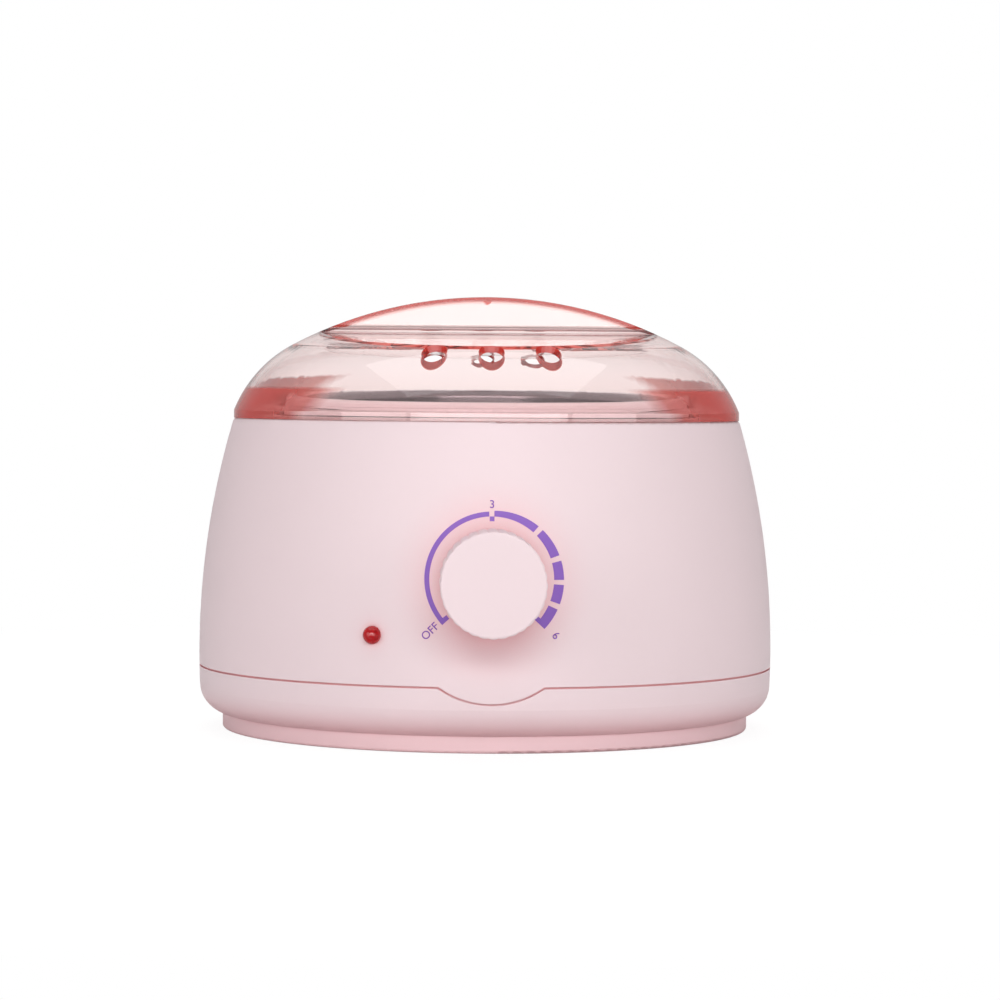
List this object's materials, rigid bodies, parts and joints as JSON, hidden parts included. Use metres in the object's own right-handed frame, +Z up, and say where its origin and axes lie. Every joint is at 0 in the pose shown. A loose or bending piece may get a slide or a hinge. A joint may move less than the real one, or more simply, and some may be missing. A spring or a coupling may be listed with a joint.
{
  "type": "wax warmer",
  "caption": "Barrel-shaped electric wax warmer with a clear tinted domed lid, a lift-out pot with a folding bail handle, a fluted heat control knob and a small pilot lens.",
  "frame": {"origin": "on the barrel's axis, at the plane the rubber feet stand on", "axes": "+Z up along the barrel's axis; the control knob faces -Y; +X to the right seen from the front"},
  "size_m": [0.185, 0.2119, 0.1392],
  "materials": {
    "lid_plastic": "clear tinted",
    "pink_plastic": "satin",
    "pot_aluminium": "polished",
    "well_aluminium": "drawn",
    "dark_steel": "burnished",
    "zinc_steel": "plated",
    "brass": "plain",
    "mica": "flaky sheet",
    "ceramic": "unglazed",
    "foot_rubber": "matt",
    "lead_sleeve": "woven glass sleeve",
    "lens_plastic": "clear tinted",
    "lamp_glass": "clear"
  },
  "bodies": {
    "housing": {"upper_housing": "pink_plastic", "base_pan": "pink_plastic", "rubber_feet": "foot_rubber", "base_screws": "zinc_steel", "cord_gland": "pink_plastic", "heating_well": "well_aluminium", "well_screws": "zinc_steel", "mica_wrap": "mica", "heater_band": "zinc_steel", "band_screw": "zinc_steel", "heat_shield": "zinc_steel", "thermostat_frame": "zinc_steel", "thermostat_bush": "brass", "thermostat_nut": "zinc_steel", "thermostat_insulators": "ceramic", "thermostat_blades": "brass", "pilot_lens": "lens_plastic", "lamp_holder": "ceramic", "pilot_lamp": "lamp_glass", "thermal_fuse": "ceramic", "fuse_clip": "zinc_steel", "terminal_block": "ceramic", "terminal_screws": "brass", "live_lead": "lead_sleeve", "switched_lead": "lead_sleeve", "heater_lead": "lead_sleeve", "neutral_lead": "lead_sleeve", "lamp_lead": "lead_sleeve"},
    "pot": {"inner_pot": "pot_aluminium", "ear_left": "dark_steel", "ear_right": "dark_steel", "ear_rivets": "pot_aluminium", "handle_pivots": "dark_steel"},
    "handle": {"pot_handle": "pink_plastic"},
    "lid": {"lid": "lid_plastic"},
    "knob": {"control_knob": "pink_plastic", "control_shaft": "zinc_steel"}
  },
  "joints": [
    {"name": "pot_lift", "type": "slide", "parent": "housing", "child": "pot", "axis": [0, 0, 1], "range_m": [0, 0.11]},
    {"name": "lid_lift", "type": "slide", "parent": "pot", "child": "lid", "axis": [0, 0, 1], "range_m": [0, 0.12]},
    {"name": "handle_swing", "type": "hinge", "parent": "pot", "child": "handle", "pos_m": [0, 0, 0.1017], "axis": [-1, 0, 0], "range_deg": [0, 90]},
    {"name": "knob_turn", "type": "hinge", "parent": "housing", "child": "knob", "pos_m": [0, 0, 0.0526], "axis": [0, 1, 0], "range_deg": [0, 260]}
  ],
  "couplings": [
    {"joint": "handle_swing", "follows": "lid_lift", "rad_per_m": 13}
  ]
}
